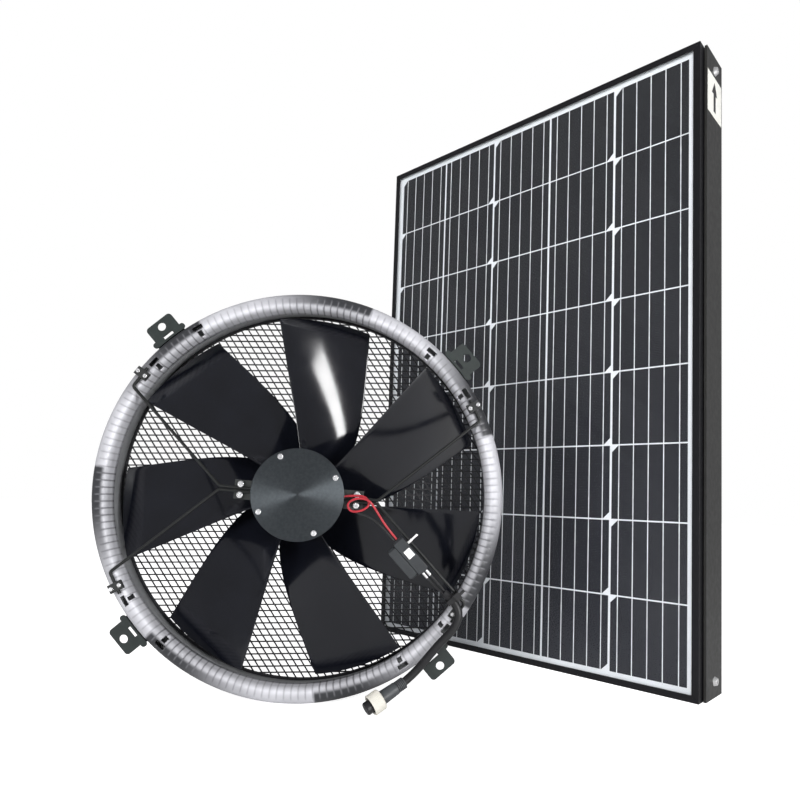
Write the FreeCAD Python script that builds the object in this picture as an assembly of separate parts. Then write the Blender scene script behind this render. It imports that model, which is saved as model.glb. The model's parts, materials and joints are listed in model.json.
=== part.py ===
import FreeCAD, Part
import math
import os

# Solar attic fan kit: a ring-mounted fan with its lead and plug, and a framed solar panel on tilt rails.
# Millimetres. The fan's axis is Y and its front faces -Y; +Z is up.
# Origin: centre of the four mounting holes, on the back face of the mounting tabs.

V = FreeCAD.Vector
ORIGIN = V(0, 0, 0)
AXIS_Y = V(0, 1, 0)
AXIS_Z = V(0, 0, 1)

# ---- fan: inlet ring, shroud and guard ----
RING_R = 215.5          # outside of the rolled inlet ring
RING_CREST_R = 202.5    # radius of the ring's most forward line
RING_LIP_R = 197.5      # inside of the ring's lip
RING_CREST_Y = -9.0
RING_ROLL_Y = 3.0       # where the rolled front meets the skirt
RING_SKIRT_Y = 14.0
SHEET = 1.0             # ring and shroud sheet
SHROUD_BACK_Y = 58.0
SHROUD_BACK_R = 208.0
REAR_FLANGE_R = 215.2
FAN_ROLL = -3.4         # the fan stands turned a little about its own axis

STRAND_W = 1.4
STRAND_T = 1.0
ROW_PITCH = 6.86
DIAGONAL_PITCH = 7.29
ROW_ANGLE = 5.4
DIAGONAL_ANGLE = -52.6
GUARD_RIM_IN = 205.5
GUARD_RIM_OUT = 208.3
GUARD_SCREW_R = 211.9

# ---- fan: mounting brackets ----
HOLE_CIRCLE_R = 231.0
TAB_HOLE_R = 4.4
TAB_W = 31.5
TAB_END_R = 238.5
TAB_T = 2.0
BRACKET_W = 40.0
RIVET_Z = 10.0
RIVET_Y = 7.0
RIVET_HOLE_R = 1.65

# ---- fan: struts ----
ROD_R = 1.6
ROD_Y = -11.0
ROD_OFFSET = 1.8
ELBOW_X = 82.0
ROD_END_R = 205.5
ROD_END_ANGLE = 27.8
ROD_TAIL_ANGLE = 34.5

# ---- fan: motor ----
COVER_R = 47.5
COVER_FRONT_Y = -26.0
HOUSING_R = 46.0
HOUSING_IN_R = 39.0
HOUSING_BACK_Y = 5.0
SHAFT_R = 5.0
BEARING_R = 11.0
RUNNING_GAP = 0.05
SEAT_GAP = 0.02
COVER_SCREW_R = 42.4
COVER_SCREW_ANGLE = 29.2
WIRE_EXIT_Y = -17.5
WIRE_EXIT_R = 4.6

# ---- fan: wheel ----
BLADES = 7
FIRST_BLADE_ANGLE = 88.6
HUB_R = 44.0
HUB_FRONT_Y = 9.0
HUB_BACK_Y = 48.0
BLADE_T = 2.4
BLADE_CAMBER = 6.0
TIP_FRONT_R = 192.6
TIP_BACK_R = 198.0

# ---- wiring ----
WIRE_R = 1.2
CABLE_R = 4.2
TIE_INSIDE_Y = -24.3     # inside of the tie's front, just clear of the cable
TIE_T = 1.2
PLUG_START = V(112.3, -19.0, -187.7)
PLUG_TIP = V(79.2, -34.0, -207.0)
PLUG_BODY_R = 7.0
PLUG_NECK_R = 5.6
NUT_R = 10.6
INSERT_R = 6.5

# ---- solar panel, in its own frame: x across, y to the back, z up from the bottom edge ----
PANEL_W = 495.5
PANEL_H = 768.2
PANEL_D = 28.0
COLUMNS = 5
ROWS = 8
CELL_PITCH_X = 93.95
CELL_PITCH_Z = 92.8
CELL_GAP_X = 2.95
CELL_GAP_Z = 1.8
CELL_CHAMFER = 8.0
RIBBONS_PER_CELL = 5
LIP_W = 8.0
WALL = 1.6
PANEL_CENTRE = V(270.6, 203.4, -215.5)
PANEL_YAW = -45.65

# ---- tilt rails ----
RAIL_GAP = 1.0
RAIL_T = 3.0
RAIL_FRONT_Y = 12.0
RAIL_BACK_Y = 67.0
RAIL_FOOT_W = 34.0
BOLT_R = 3.0
BOLT_Y = 40.0
BOLT_END = 19.0         # bolt height above the bottom edge, and below the top edge
FOOT_HOLE_R = 3.5
FOOT_HOLE_END = 60.0


def polar(radius, angle, y=0.0):
    """A point on the fan, its angle counted from +X towards +Z in degrees."""
    a = math.radians(angle)
    return V(radius * math.cos(a), y, radius * math.sin(a))


def turn(shape, angle):
    """A copy turned about the fan's axis, from +X towards +Z."""
    out = shape.copy()
    out.rotate(ORIGIN, AXIS_Y, -angle)
    return out


def box(x0, x1, y0, y1, z0, z1):
    return Part.makeBox(x1 - x0, y1 - y0, z1 - z0, V(x0, y0, z0))


def disc(radius, y0, y1, centre=ORIGIN):
    return Part.makeCylinder(radius, y1 - y0, V(centre.x, y0, centre.z), AXIS_Y)


def annulus(r_in, r_out, y0, y1):
    return disc(r_out, y0, y1).cut(disc(r_in, y0 - 1, y1 + 1))


def revolve(points):
    """A closed outline of (radius, y) points turned about the fan's axis."""
    wire = Part.makePolygon([V(r, y, 0) for r, y in points + points[:1]])
    return Part.Face(wire).revolve(ORIGIN, AXIS_Y, 360)


def group(solids):
    return Part.makeCompound(solids)


def hexagon(flats, centre, axis, height):
    """A hexagonal prism standing on centre along axis."""
    r = flats / 2 / math.cos(math.pi / 6)
    corners = [V(r * math.cos(k * math.pi / 3), r * math.sin(k * math.pi / 3), 0) for k in range(7)]
    prism = Part.Face(Part.makePolygon(corners)).extrude(V(0, 0, height))
    prism.Placement = FreeCAD.Placement(centre, FreeCAD.Rotation(AXIS_Z, axis))
    return prism


def bend_radii(points, share=0.45):
    """The arc radius at each inner point: 0.45 of the shorter run over the tangent of half the turn."""
    radii = []
    for before, here, after in zip(points, points[1:], points[2:]):
        a = here - before
        b = after - here
        half = a.getAngle(b) / 2
        radii.append(share * min(a.Length, b.Length) / math.tan(half))
    return radii


def path(points, radii):
    """Straight runs joined by tangent arcs."""
    edges = []
    start = points[0]
    for i, radius in enumerate(radii):
        here = points[i + 1]
        back = (points[i] - here).normalize()
        on = (points[i + 2] - here).normalize()
        half = (math.pi - back.getAngle(on)) / 2
        reach = radius * math.tan(half)
        first = here + back * reach
        last = here + on * reach
        inward = (back + on).normalize()
        middle = here + inward * (radius / math.cos(half) - radius)
        edges.append(Part.makeLine(start, first))
        edges.append(Part.Arc(first, middle, last).toShape())
        start = last
    edges.append(Part.makeLine(start, points[-1]))
    return Part.Wire(edges)


def tube(points, radius, radii):
    spine = path(points, radii)
    ring = Part.Wire(Part.makeCircle(radius, points[0], points[1] - points[0]))
    return spine.makePipeShell([ring], True, False)


def cord(name, points, radius):
    """A cord; prints its length, its arc radii and its volume against section times length."""
    radii = bend_radii(points)
    solid = tube(points, radius, radii)
    length = path(points, radii).Length
    area = math.pi * radius * radius
    shown = " ".join(f"{r:.1f}" for r in radii)
    print(f"{name}: length {length:.1f} mm, arc radii {shown} mm, "
          f"volume {solid.Volume:.0f} against {area * length:.0f} mm3")
    return solid


# ---------------------------------------------------------------- fan frame

def inlet_ring():
    """Bellmouth ring: outside skirt, rounded crest and inside lip, with slots beside each bracket."""
    outer = [(RING_R, RING_SKIRT_Y)]
    inner = []
    steps = 8
    lip_y = 0.0
    for k in range(steps + 1):
        t = math.radians(90.0 * k / steps)
        half = RING_R - RING_CREST_R
        rise = RING_ROLL_Y - RING_CREST_Y
        c, s = math.cos(t), math.sin(t)
        outer.append((RING_CREST_R + half * c, RING_ROLL_Y - rise * s))
        inner.append((RING_CREST_R + (half - SHEET) * c, RING_ROLL_Y - (rise - SHEET) * s))
    for k in range(1, steps + 1):
        t = math.radians(90.0 * k / steps)
        half = RING_CREST_R - RING_LIP_R
        rise = lip_y - RING_CREST_Y
        outer.append((RING_CREST_R - half * math.sin(t), lip_y - rise * math.cos(t)))
        inner.append((RING_CREST_R - (half - SHEET) * math.sin(t), lip_y - (rise - SHEET) * math.cos(t)))
    outer.append((RING_LIP_R, lip_y + 13.0))
    inner.append((RING_LIP_R + SHEET, lip_y + 13.0))
    outline = outer + inner[::-1] + [(RING_R - SHEET, RING_SKIRT_Y)]
    ring = revolve(outline)
    slot = box(203.5, 209.5, -12, -4, -5.8, 5.8)
    square = box(-2.6, 2.6, -12, 3, -2.6, 2.6)
    cuts = []
    for k in range(4):
        for side in (-8.0, 8.0):
            angle = 45 + 90 * k + side
            cuts.append(turn(slot, angle))
            hole = square.copy()
            hole.translate(V(199.5, 0, 0))
            cuts.append(turn(hole, angle))
        for z in (-RIVET_Z, RIVET_Z):
            rivet_hole = Part.makeCylinder(RIVET_HOLE_R, 10, V(208, RIVET_Y, z), V(1, 0, 0))
            cuts.append(turn(rivet_hole, 45 + 90 * k))
    return ring.cut(group(cuts))


def shroud():
    y0 = RING_SKIRT_Y + 0.05
    front_in = RING_LIP_R + 2.0
    outline = [
        (RING_R, y0),
        (RING_R, y0 + SHEET),
        (front_in + SHEET + 0.2, y0 + SHEET),
        (SHROUD_BACK_R + SHEET, SHROUD_BACK_Y),
        (REAR_FLANGE_R, SHROUD_BACK_Y),
        (REAR_FLANGE_R, SHROUD_BACK_Y + SHEET),
        (SHROUD_BACK_R, SHROUD_BACK_Y + SHEET),
        (front_in, y0 + SHEET),
        (front_in, y0),
    ]
    body = revolve(outline)
    hole = disc(2.05, SHROUD_BACK_Y - 1, SHROUD_BACK_Y + 2, V(GUARD_SCREW_R, 0, 0))
    holes = [turn(hole, 22.5 + 45 * k) for k in range(8)]
    return body.cut(group(holes))


def guard_layer(y0, angle, pitch):
    """One layer of the guard: parallel strands inside a flat rim."""
    rim = annulus(GUARD_RIM_IN, GUARD_RIM_OUT, y0, y0 + STRAND_T)
    reach = GUARD_RIM_IN + 0.8
    count = int(reach / pitch)
    strands = []
    for k in range(-count, count + 1):
        z = k * pitch
        edge = abs(z) + STRAND_W / 2
        if edge > reach - 3:
            continue
        half = math.sqrt(reach * reach - edge * edge)
        strands.append(box(-half, half, y0, y0 + STRAND_T, z - STRAND_W / 2, z + STRAND_W / 2))
    return turn(rim.multiFuse(strands), angle)


def guard_rim():
    """Clamp ring behind the guard, stepped forward outside the guard's rim."""
    y_mesh = SHROUD_BACK_Y + SHEET + 2 * STRAND_T + 0.6
    outline = [
        (GUARD_RIM_IN, y_mesh),
        (GUARD_RIM_OUT + 0.3, y_mesh),
        (GUARD_RIM_OUT + 0.3, SHROUD_BACK_Y + SHEET + 0.05),
        (REAR_FLANGE_R, SHROUD_BACK_Y + SHEET + 0.05),
        (REAR_FLANGE_R, y_mesh + SHEET),
        (GUARD_RIM_IN, y_mesh + SHEET),
    ]
    body = revolve(outline)
    hole = disc(2.05, SHROUD_BACK_Y, y_mesh + 3, V(GUARD_SCREW_R, 0, 0))
    holes = [turn(hole, 22.5 + 45 * k) for k in range(8)]
    return body.cut(group(holes))


def guard_screws():
    back = SHROUD_BACK_Y + 2 * SHEET + 2 * STRAND_T + 0.65
    centre = V(GUARD_SCREW_R, 0, 0)
    screw = disc(2.0, SHROUD_BACK_Y - 3, back, centre).fuse(disc(3.2, back, back + 2.2, centre))
    return group([turn(screw, 22.5 + 45 * k) for k in range(8)])


def mount_brackets():
    """Tab with its hole, an eared foot with a window, and a leg riveted along the ring's skirt."""
    seat = RING_R + 0.1
    half = BRACKET_W / 2 - 3
    corner_z = TAB_W / 2 - 4
    tab = box(seat - 2, TAB_END_R - 4, -TAB_T, 0, -TAB_W / 2, TAB_W / 2)
    end = box(TAB_END_R - 8, TAB_END_R, -TAB_T, 0, -corner_z, corner_z)
    foot = box(seat - 2, seat + 6, -TAB_T, 0, -half, half)
    corners = [disc(4, -TAB_T, 0, V(TAB_END_R - 4, 0, s * corner_z)) for s in (-1, 1)]
    ears = [disc(3, -TAB_T, 0, V(seat + 3, 0, s * half)) for s in (-1, 1)]
    leg = annulus(seat, seat + TAB_T, -TAB_T, RING_SKIRT_Y - 1)
    leg = leg.common(box(seat - 9, seat + 9, -9, 40, -half, half))
    body = tab.multiFuse([end, foot, leg] + corners + ears)
    body = body.cut(disc(TAB_HOLE_R, -9, 9, V(HOLE_CIRCLE_R, 0, 0)))
    body = body.cut(box(seat + TAB_T + 0.3, seat + 5.6, -9, 9, -5.8, 5.8))
    body = body.cut(disc(seat, -9, 40))
    for z in (-RIVET_Z, RIVET_Z):
        body = body.cut(Part.makeCylinder(RIVET_HOLE_R, 20, V(seat - 8, RIVET_Y, z), V(1, 0, 0)))
    return group([turn(body, 45 + 90 * k) for k in range(4)])


def bracket_rivets():
    rivets = []
    for z in (-RIVET_Z, RIVET_Z):
        reach = math.sqrt((RING_R + 2.1) ** 2 - z * z)
        shank = Part.makeCylinder(RIVET_HOLE_R - 0.05, 5.0, V(reach - 4.4, RIVET_Y, z), V(1, 0, 0))
        head = Part.makeCylinder(3.0, 1.0, V(reach + 0.3, RIVET_Y, z), V(1, 0, 0))
        rivets.append(shank.fuse(head))
    return group([turn(r, 45 + 90 * k) for k in range(4) for r in rivets])


# ---------------------------------------------------------------- struts

def strut_rod(side, lift):
    """One bent rod: out from the motor, up or down to the ring, then along the ring to its clamp."""
    z = lift * ROD_OFFSET
    end = polar(ROD_END_R, lift * ROD_END_ANGLE, ROD_Y)
    tail = polar(ROD_END_R, lift * ROD_TAIL_ANGLE, ROD_Y)
    points = [V(HOUSING_R + 1.5, ROD_Y, z), V(ELBOW_X, ROD_Y, z), end, tail]
    rod = tube(points, ROD_R, [5.0, 3.5])
    return rod if side > 0 else rod.mirror(ORIGIN, V(1, 0, 0))


def strut_plates():
    """Plates behind the rods, fixed to the motor housing."""
    plate = box(40, 67, -9.3, -6.8, -10, 10).cut(disc(HOUSING_R + 0.02, -20, 20))
    for z in (-5.6, 5.6):
        plate = plate.cut(disc(1.55, -20, 20, V(60, 0, z)))
    return group([plate, plate.mirror(ORIGIN, V(1, 0, 0))])


def pan_screw(head_r, head_h, shank_r, shank_l, centre):
    """A pan-head screw pointing to +Y, its head's underside at centre."""
    head = disc(head_r, centre.y - head_h, centre.y, centre)
    head = head.makeFillet(head_h * 0.45, [head.Edges[k] for k in range(len(head.Edges))
                                           if abs(head.Edges[k].CenterOfMass.y - centre.y + head_h) < 1e-6])
    shank = disc(shank_r, centre.y, centre.y + shank_l, centre)
    slot = box(centre.x - head_r * 0.55, centre.x + head_r * 0.55,
               centre.y - head_h - 1, centre.y - head_h * 0.65, centre.z - 0.45, centre.z + 0.45)
    cross = slot.copy()
    cross.rotate(V(centre.x, 0, centre.z), AXIS_Y, 90)
    return head.fuse(shank).cut(slot).cut(cross)


def strut_screws():
    y = ROD_Y - ROD_R - 0.05
    screws = []
    for z in (-5.6, 5.6):
        screw = pan_screw(3.4, 2.0, 1.5, 6.5, V(60, y, z))
        screws += [screw, screw.mirror(ORIGIN, V(1, 0, 0))]
    return group(screws)


def rod_clamps():
    """Saddle plates that hold the rod ends on the ring's crest."""
    y_top = ROD_Y - ROD_R - 0.05
    clamps = []
    for side in (0, 180):
        for lift in (-1, 1):
            angle = side + lift * (ROD_TAIL_ANGLE - 2.2)
            plate = box(198.5, 212.5, y_top - 1.2, y_top, -4.5, 4.5)
            cheek_in = box(198.5, 203.2, y_top, RING_CREST_Y - 0.1, -4.5, 4.5)
            cheek_out = box(207.8, 212.5, y_top, RING_CREST_Y + 1.0, -4.5, 4.5)
            body = plate.fuse(cheek_in).fuse(cheek_out)
            for r in (200.9, 210.1):
                body = body.cut(disc(1.3, -30, 10, V(r, 0, 0)))
            clamps.append(turn(body, angle))
    return group(clamps)


def clamp_screws():
    y_top = ROD_Y - ROD_R - 1.3
    screws = []
    for side in (0, 180):
        for lift in (-1, 1):
            angle = side + lift * (ROD_TAIL_ANGLE - 2.2)
            for r in (200.9, 210.1):
                screws.append(turn(pan_screw(2.2, 1.4, 1.25, 12.0, V(r, y_top, 0)), angle))
    return group(screws)


# ---------------------------------------------------------------- motor

def motor_cover():
    """Turned front disc with a bevelled edge, a bearing seat and a shallow centre mark."""
    y0 = COVER_FRONT_Y
    bevel = 0.8
    outline = [
        (0, y0 + 0.4),
        (1.2, y0),
        (COVER_R - bevel, y0),
        (COVER_R, y0 + bevel),
        (COVER_R, y0 + 3),
        (14, y0 + 3),
        (14, y0 + 10.5),
        (BEARING_R + SEAT_GAP, y0 + 10.5),
        (BEARING_R + SEAT_GAP, y0 + 3),
        (0, y0 + 3),
    ]
    body = revolve(outline)
    places = [polar(COVER_SCREW_R, COVER_SCREW_ANGLE + 90 * k) for k in range(4)]
    return body.cut(group([disc(1.6, -40, 0, place) for place in places]))


def cover_screws():
    screw = pan_screw(3.0, 1.6, 1.5, 9.0, V(COVER_SCREW_R, COVER_FRONT_Y - 0.02, 0))
    return group([turn(screw, COVER_SCREW_ANGLE + 90 * k) for k in range(4)])


def motor_housing():
    y0 = COVER_FRONT_Y + 3.05
    y_wall = HOUSING_BACK_Y - 3
    outline = [
        (HOUSING_R, y0),
        (HOUSING_R, HOUSING_BACK_Y),
        (BEARING_R + SEAT_GAP, HOUSING_BACK_Y),
        (BEARING_R + SEAT_GAP, y_wall - 3),
        (14, y_wall - 3),
        (14, y_wall),
        (HOUSING_IN_R, y_wall),
        (HOUSING_IN_R, y0),
    ]
    body = revolve(outline)
    holes = [disc(1.6, y0 - 1, y0 + 10, polar(COVER_SCREW_R, COVER_SCREW_ANGLE + 90 * k)) for k in range(4)]
    wire_exit = Part.makeCylinder(WIRE_EXIT_R, 20, V(35, WIRE_EXIT_Y, 0), V(1, 0, 0))
    return body.cut(group(holes)).cut(wire_exit)


def bearings():
    seats = [COVER_FRONT_Y + 3.5, HOUSING_BACK_Y - 7.0]
    return group([annulus(SHAFT_R + RUNNING_GAP, BEARING_R, y, y + 6.5) for y in seats])


def stator_core():
    body = annulus(31.0, HOUSING_IN_R - 0.05, -12, -3)
    teeth = [turn(box(20.6, 32, -12, -3, -2.5, 2.5), 40 * k) for k in range(9)]
    return body.multiFuse(teeth)


def stator_windings():
    coil = box(24.2, 29.8, -13.6, -1.4, -5.2, 5.2).cut(box(20, 33, -12.1, -2.9, -2.6, 2.6))
    return group([turn(coil, 40 * k) for k in range(9)])


def control_board():
    board = annulus(16, 38.5, -20.6, -19.0)
    chips = [turn(box(22, 30, -19.0, -17.2, -4, 4), 60 + 120 * k) for k in range(3)]
    cans = [disc(3.2, -19.0, -14.5, polar(32, 10 + 120 * k)) for k in range(3)]
    return board.multiFuse(chips + cans)


def motor_shaft():
    return disc(SHAFT_R, -20.5, 43.0)


def rotor_core():
    return annulus(SHAFT_R + SEAT_GAP, 15.0, -12, -3)


def rotor_magnets():
    ring = annulus(15.05, 19.6, -12, -3)
    gap = box(10, 25, -20, 5, -0.8, 0.8)
    return group(ring.cut(group([turn(gap, 60 * k) for k in range(6)])).Solids)


# ---------------------------------------------------------------- wheel

def front_edge_angle(radius):
    """The forward edge of a blade, in degrees ahead of the blade's own direction."""
    return 14.8 - 5.9 * math.exp(-(radius - 51.0) / 60.0)


def back_edge_angle(radius):
    """The rear edge sweeps back strongly towards the hub."""
    return -7.6 - 38.4 * math.exp(-(radius - 61.0) / 82.0)


def edge_offset(height, law):
    """Sideways position of an edge on the plane that lies height from the axis."""
    angle = 0.0
    for step in range(30):
        radius = height / math.cos(math.radians(angle))
        angle = 0.5 * angle + 0.5 * law(radius)
    return height * math.tan(math.radians(angle))


def blade_section(height):
    z_front = edge_offset(height, front_edge_angle)
    z_back = edge_offset(height, back_edge_angle)
    y_front = HUB_FRONT_Y + 1.0
    y_back = HUB_BACK_Y - 1.0 - 6.0 * max(0.0, height - HUB_R) / TIP_BACK_R
    near = []
    far = []
    for k in range(7):
        s = k / 6.0
        bulge = 4 * s * (1 - s)
        thick = 0.5 + (BLADE_T / 2 - 0.5) * bulge
        y = y_front + (y_back - y_front) * s + BLADE_CAMBER * bulge
        z = z_front + (z_back - z_front) * s
        near.append(V(height, y - thick, z))
        far.append(V(height, y + thick, z))
    top = Part.BSplineCurve()
    top.interpolate(near)
    bottom = Part.BSplineCurve()
    bottom.interpolate(far[::-1])
    edges = [
        top.toShape(),
        Part.makeLine(near[-1], far[-1]),
        bottom.toShape(),
        Part.makeLine(far[0], near[0]),
    ]
    return Part.Wire(edges)


def fan_wheel():
    heights = [33, 48, 70, 100, 135, 170, 206]
    blade = Part.makeLoft([blade_section(h) for h in heights], True, False)
    slope = (TIP_BACK_R - TIP_FRONT_R) / (HUB_BACK_Y - HUB_FRONT_Y)
    y0 = HUB_FRONT_Y - 8
    y1 = HUB_BACK_Y + 8
    envelope = revolve([
        (HUB_R - 1.0, y0),
        (TIP_FRONT_R - slope * 8, y0),
        (TIP_BACK_R + slope * 8, y1),
        (HUB_R - 1.0, y1),
    ])
    blade = blade.common(envelope)
    hub = revolve([
        (SHAFT_R + SEAT_GAP, HUB_FRONT_Y),
        (HUB_R - 1.5, HUB_FRONT_Y),
        (HUB_R, HUB_FRONT_Y + 1.5),
        (HUB_R, HUB_BACK_Y),
        (HUB_R - 4, HUB_BACK_Y),
        (HUB_R - 4, HUB_FRONT_Y + 3.5),
        (12, HUB_FRONT_Y + 3.5),
        (12, 30),
        (SHAFT_R + SEAT_GAP, 30),
    ])
    ribs = [turn(box(11, HUB_R - 3, HUB_FRONT_Y + 3, 28, -1.2, 1.2), 51.43 * k) for k in range(BLADES)]
    step = 360.0 / BLADES
    blades = [turn(blade, FIRST_BLADE_ANGLE + step * k) for k in range(BLADES)]
    return hub.multiFuse(ribs + blades)


def wheel_washer():
    return annulus(SHAFT_R + SEAT_GAP, 10.0, 30.05, 31.55)


def wheel_nut():
    nut = hexagon(17.0, V(0, 31.6, 0), AXIS_Y, 8.0)
    return nut.cut(disc(SHAFT_R + SEAT_GAP, 20, 60))


# ---------------------------------------------------------------- wiring

ROD_DIRECTION = (polar(ROD_END_R, -ROD_END_ANGLE) - V(ELBOW_X, 0, -ROD_OFFSET)).normalize()
ROD_SIDE = V(ROD_DIRECTION.z, 0, -ROD_DIRECTION.x)


def by_rod(along, aside, y):
    """A point beside the lower right rod: along it from its elbow, and aside towards the bottom left."""
    return V(ELBOW_X, y, -ROD_OFFSET) + ROD_DIRECTION * along + ROD_SIDE * aside


def rod_box(along0, along1, aside0, aside1, y0, y1):
    """A box lined up with the lower right rod."""
    corners = [by_rod(a, b, y0) for a, b in
               ((along0, aside0), (along1, aside0), (along1, aside1), (along0, aside1), (along0, aside0))]
    return Part.Face(Part.makePolygon(corners)).extrude(V(0, y1 - y0, 0))


def red_wire():
    points = [
        V(41.0, -16.8, 1.6),
        V(56.0, -17.0, 4.6),
        V(69.0, -17.8, 5.0),
        V(75.0, -18.6, -3.0),
        V(67.0, -19.4, -10.5),
        V(55.0, -20.2, -12.5),
        V(50.5, -21.2, -4.0),
        V(60.0, -22.0, 2.5),
        V(73.0, -22.4, 2.0),
        V(82.0, -20.6, -9.0),
        by_rod(22.0, 8.5, -17.0),
        by_rod(40.5, 9.0, -15.0),
    ]
    return cord("red_wire", points, WIRE_R)


def black_wire():
    points = [
        V(41.0, -18.6, -2.0),
        V(50.0, -18.4, -4.0),
        V(60.0, -16.6, -13.0),
        V(75.0, -15.2, -15.5),
        by_rod(22.0, 11.5, -15.2),
        by_rod(40.5, 12.0, -15.0),
    ]
    return cord("black_wire", points, WIRE_R)


def connector_socket():
    body = rod_box(42.5, 82.5, 3.4, 15.6, -22.0, -8.0)
    step = rod_box(41.0, 84.0, 5.0, 14.0, -19.5, -10.5)
    return body.fuse(step)


def connector_plug():
    body = rod_box(45.5, 80.0, 15.7, 25.4, -21.0, -9.0)
    step = rod_box(44.0, 81.5, 17.2, 24.0, -18.5, -11.5)
    return body.fuse(step)


def connector_terminals():
    pins = [Part.makeCylinder(1.5, 7.0, by_rod(84.1, aside, -15.0), ROD_DIRECTION) for aside in (7.0, 11.5)]
    return group(pins)


def lead_pair():
    """Two bare leads between the connector and the jacketed cable."""
    leads = []
    for aside, y, shift in ((7.0, -16.2, -1.5), (11.5, -18.8, 1.5)):
        points = [
            by_rod(91.2, aside, -15.0),
            by_rod(101.0, aside, -15.2),
            by_rod(112.7, 8.6 + shift, y),
        ]
        leads.append(cord("lead_pair", points, WIRE_R))
    return group(leads)


def in_row(point):
    """A fan point, after the fan's roll."""
    a = math.radians(FAN_ROLL)
    return V(point.x * math.cos(a) - point.z * math.sin(a), point.y,
             point.x * math.sin(a) + point.z * math.cos(a))


PLUG_AXIS = (PLUG_TIP - PLUG_START).normalize()
PLUG_PLACE = FreeCAD.Placement(PLUG_START, FreeCAD.Rotation(AXIS_Z, PLUG_AXIS))


def lead_cable():
    points = [
        in_row(by_rod(113.6, 8.6, -17.5)),
        V(168.7, -20.8, -106.5),
        V(168.0, -21.2, -126.6),
        V(147.6, -19.5, -148.5),
        PLUG_START - PLUG_AXIS * 13.0,
        PLUG_START + PLUG_AXIS * 5.5,
    ]
    return cord("lead_cable", points, CABLE_R)


def cable_tie():
    """Band round the rod's end and the cable, with its lock head."""
    front = TIE_INSIDE_Y - TIE_T
    band = rod_box(121.0, 126.0, -2.9, 13.4, front, -8.2)
    band = band.cut(rod_box(120.0, 127.0, -1.7, 12.2, TIE_INSIDE_Y, -9.3))
    head = rod_box(120.0, 127.0, -2.6, 4.0, front - 3.8, front)
    tail = rod_box(122.0, 125.0, -8.5, -2.6, front - 2.4, front - 1.4)
    return band.multiFuse([head, tail])


def white_tie():
    """Clear tie round the rod beside the connector, its cut tail standing out."""
    band = rod_box(50.0, 52.4, -2.8, 2.8, -14.2, -8.2)
    band = band.cut(rod_box(49.0, 53.4, -1.9, 1.9, -13.3, -9.2))
    tail = rod_box(50.2, 52.2, -10.5, -2.8, -12.4, -11.4)
    return band.fuse(tail)


def lock_tab():
    """Lock pressed into the front of the connector."""
    return rod_box(54.6, 64.0, 5.0, 12.6, -22.9, -22.02)


def on_plug(outline):
    """An outline of (radius, distance) turned about the plug's axis."""
    wire = Part.makePolygon([V(r, 0, d) for r, d in outline + outline[:1]])
    body = Part.Face(wire).revolve(ORIGIN, AXIS_Z, 360)
    body.Placement = PLUG_PLACE
    return body


def plug_strain_relief():
    """Sleeve of five ribs behind the plug's body."""
    outline = [(CABLE_R + 0.03, 6.0), (CABLE_R + 0.03, -3.5)]
    for k in range(5):
        d = -3.5 + 1.9 * k
        outline += [(6.0, d), (6.0, d + 1.1), (5.1, d + 1.1), (5.1, d + 1.9)]
    return on_plug(outline)


def plug_body():
    """Tapered grip, and the neck that carries the coupling nut."""
    return on_plug([
        (0, 6.05), (6.1, 6.05), (6.3, 6.4), (PLUG_BODY_R, 24.0), (PLUG_BODY_R - 0.4, 24.4),
        (PLUG_NECK_R, 24.4), (PLUG_NECK_R, 37.0), (0, 37.0),
    ])


def coupling_nut():
    """Nut that turns on the plug's neck: open to the front, its outside knurled."""
    sleeve = on_plug([
        (PLUG_NECK_R + 0.07, 24.6), (NUT_R - 0.8, 24.6), (NUT_R, 25.4), (NUT_R, 36.8), (NUT_R - 0.5, 37.4),
        (NUT_R - 1.7, 37.4), (NUT_R - 1.7, 28.6), (PLUG_NECK_R + 0.07, 28.6),
    ])
    grooves = []
    for k in range(18):
        groove = box(-0.5, 0.5, NUT_R - 0.35, NUT_R + 1, 26.0, 36.2)
        groove.rotate(ORIGIN, AXIS_Z, 20 * k)
        groove.Placement = PLUG_PLACE.multiply(groove.Placement)
        grooves.append(groove)
    return sleeve.cut(group(grooves))


def plug_insert():
    """Front face with two socket holes and a key."""
    face = on_plug([
        (0, 37.05), (INSERT_R, 37.05), (INSERT_R, 42.6), (INSERT_R - 0.9, 43.6), (0, 43.6),
    ])
    for x in (-2.4, 2.4):
        hole = Part.makeCylinder(1.1, 4.0, V(x, 0, 40.6))
        hole.Placement = PLUG_PLACE.multiply(hole.Placement)
        face = face.cut(hole)
    key = Part.makeBox(2.6, 1.3, 5.0, V(-1.3, INSERT_R - 0.4, 37.05))
    key.Placement = PLUG_PLACE.multiply(key.Placement)
    return face.fuse(key)


# ---------------------------------------------------------------- solar panel

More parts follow.
